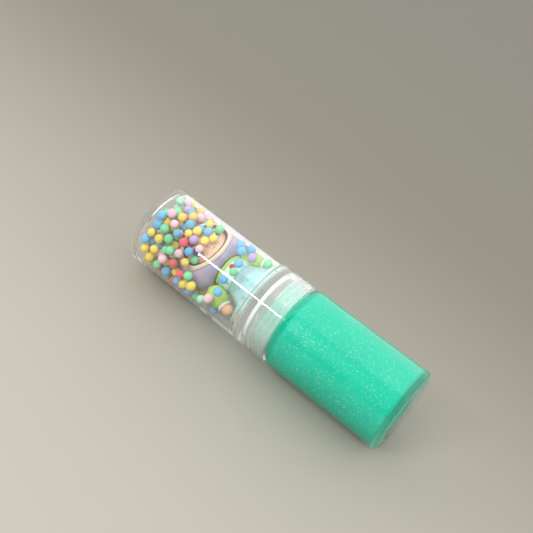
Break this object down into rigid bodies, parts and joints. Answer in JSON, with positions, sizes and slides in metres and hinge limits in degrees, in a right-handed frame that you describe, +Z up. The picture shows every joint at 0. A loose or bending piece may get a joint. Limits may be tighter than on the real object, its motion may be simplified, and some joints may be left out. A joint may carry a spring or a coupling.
{
  "type": "bead and slime shaker tube",
  "caption": "Clear two-chamber toy tube: a bead chamber with a small doll screws onto a jar of glitter slime.",
  "frame": {"origin": "middle of the footprint, on the surface that the lying tube rests on", "axes": "+X along the tube towards the jar's base, +Z up, +Y to the left of someone who looks along +X"},
  "size_m": [0.178, 0.05, 0.05],
  "materials": {
    "clear_jar": "clear, polished",
    "clear_cap": "clear, polished",
    "clear_cover": "clear, polished",
    "glitter_slime": "translucent teal gel with fine silver glitter",
    "plug_plastic": "clear, slightly milky",
    "seal_foam": "soft white foam",
    "doll_skin": "satin vinyl",
    "doll_lavender": "satin vinyl",
    "doll_cream": "satin vinyl",
    "doll_aqua": "satin vinyl with painted drops",
    "doll_lime": "satin vinyl",
    "doll_white": "satin vinyl",
    "doll_red": "painted, gloss",
    "doll_teal": "satin vinyl",
    "foam_yellow": "expanded foam",
    "foam_blue": "expanded foam",
    "foam_pink": "expanded foam",
    "foam_green": "expanded foam",
    "foam_lavender": "expanded foam",
    "foam_red": "expanded foam",
    "foam_mint": "expanded foam"
  },
  "bodies": {
    "jar": {"slime_jar": "clear_jar", "slime": "glitter_slime", "neck_plug": "plug_plastic"},
    "gasket": {"seal_gasket": "seal_foam"},
    "cap": {"screw_cap": "clear_cap", "doll_head": "doll_skin", "doll_hood": "doll_lavender", "doll_hood_trim": "doll_cream", "doll_neck": "doll_skin", "doll_collar": "doll_lime", "doll_badge": "doll_red", "doll_sleeve_right": "doll_lime", "doll_cuff_right": "doll_white", "doll_hand_right": "doll_skin", "doll_sleeve_left": "doll_lime", "doll_cuff_left": "doll_white", "doll_hand_left": "doll_skin", "doll_dress": "doll_aqua", "doll_bodice": "doll_aqua", "doll_shoes": "doll_teal", "beads_yellow": "foam_yellow", "beads_blue": "foam_blue", "beads_pink": "foam_pink", "beads_green": "foam_green", "beads_lavender": "foam_lavender", "beads_red": "foam_red", "beads_mint": "foam_mint"},
    "cover": {"bead_cover": "clear_cover"}
  },
  "joints": [
    {"name": "gasket_lift", "type": "slide", "parent": "jar", "child": "gasket", "axis": [-1, 0, 0], "range_m": [0, 0.0121]},
    {"name": "cap_turn", "type": "hinge", "parent": "gasket", "child": "cap", "pos_m": [-0.005, 0, 0.025], "axis": [-1, 0, 0], "range_deg": [0, 1440]},
    {"name": "cover_pull", "type": "slide", "parent": "cap", "child": "cover", "axis": [-1, 0, 0], "range_m": [0, 0.08]}
  ],
  "couplings": [
    {"joint": "gasket_lift", "follows": "cap_turn", "m_per_rad": 0.00047746}
  ]
}
